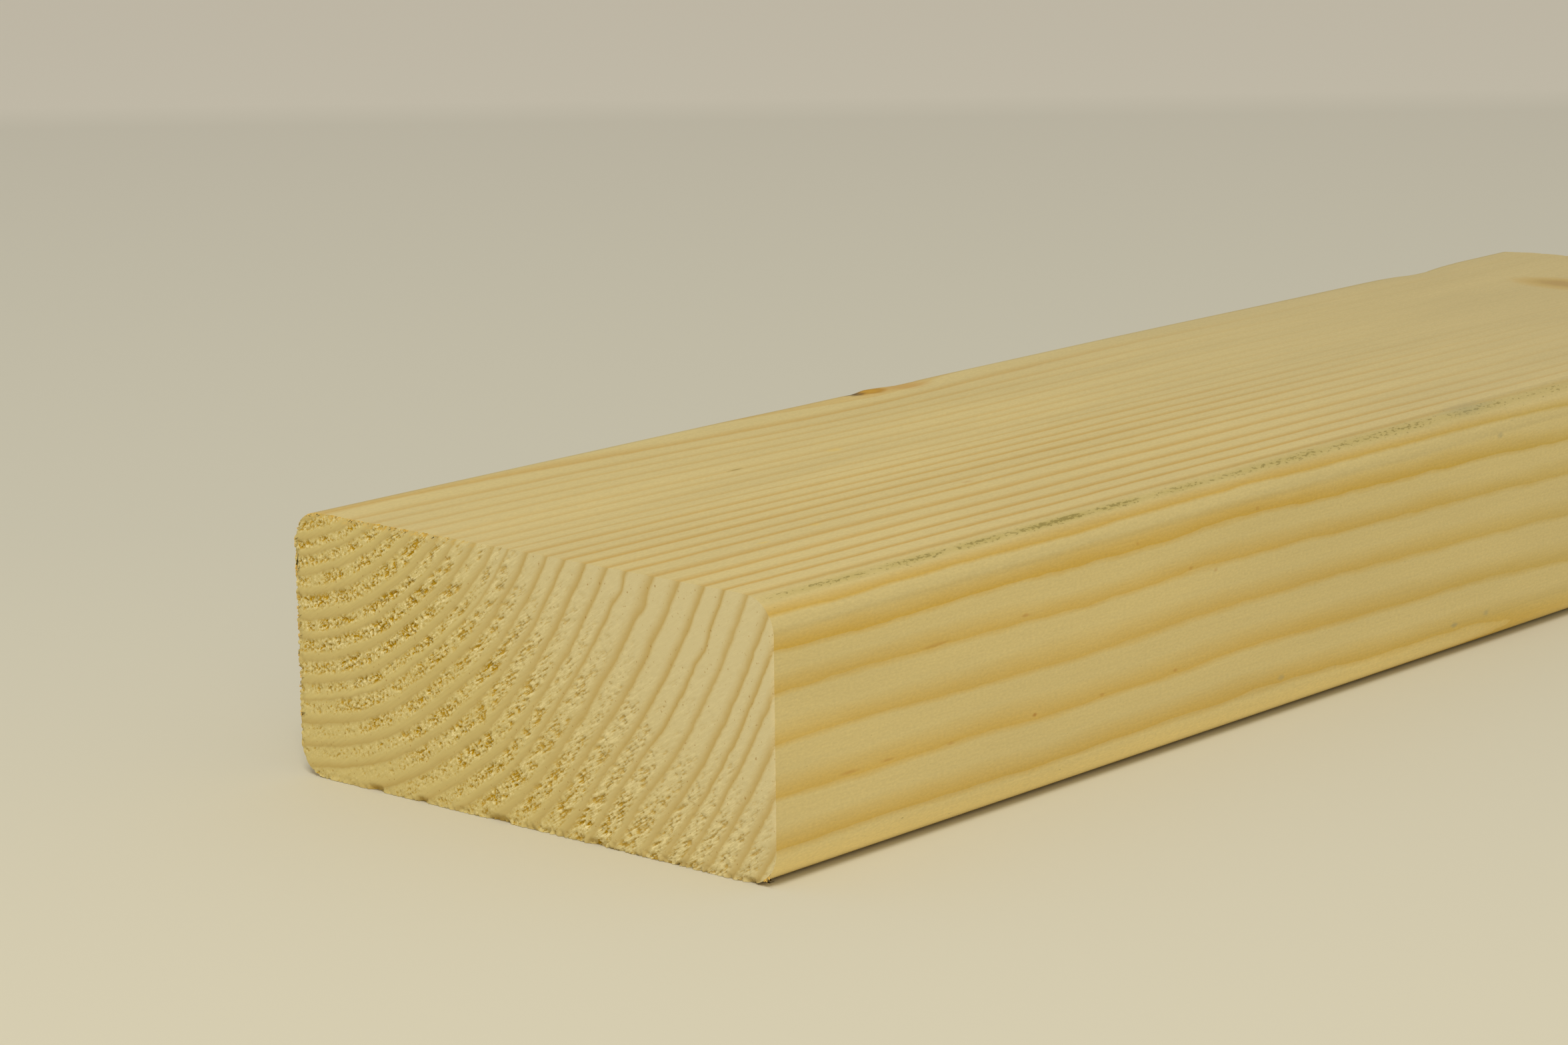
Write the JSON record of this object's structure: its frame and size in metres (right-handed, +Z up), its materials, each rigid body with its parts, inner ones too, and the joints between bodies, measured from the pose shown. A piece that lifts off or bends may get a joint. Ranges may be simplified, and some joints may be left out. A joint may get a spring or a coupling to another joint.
{
  "type": "timber lumber plank",
  "caption": "Short length of planed construction softwood with eased long arrises and square sawn ends, lying on its wide face as stock for framing, packing or making up.",
  "frame": {"origin": "middle of the underside, the wide face that the plank lies on", "axes": "+X along the grain from the near sawn end to the far one, +Y across the width towards the back edge, +Z up through the thickness"},
  "size_m": [0.305, 0.089, 0.038],
  "materials": {
    "softwood": "satin"
  },
  "bodies": {
    "root": {"plank": "softwood"}
  },
  "joints": []
}
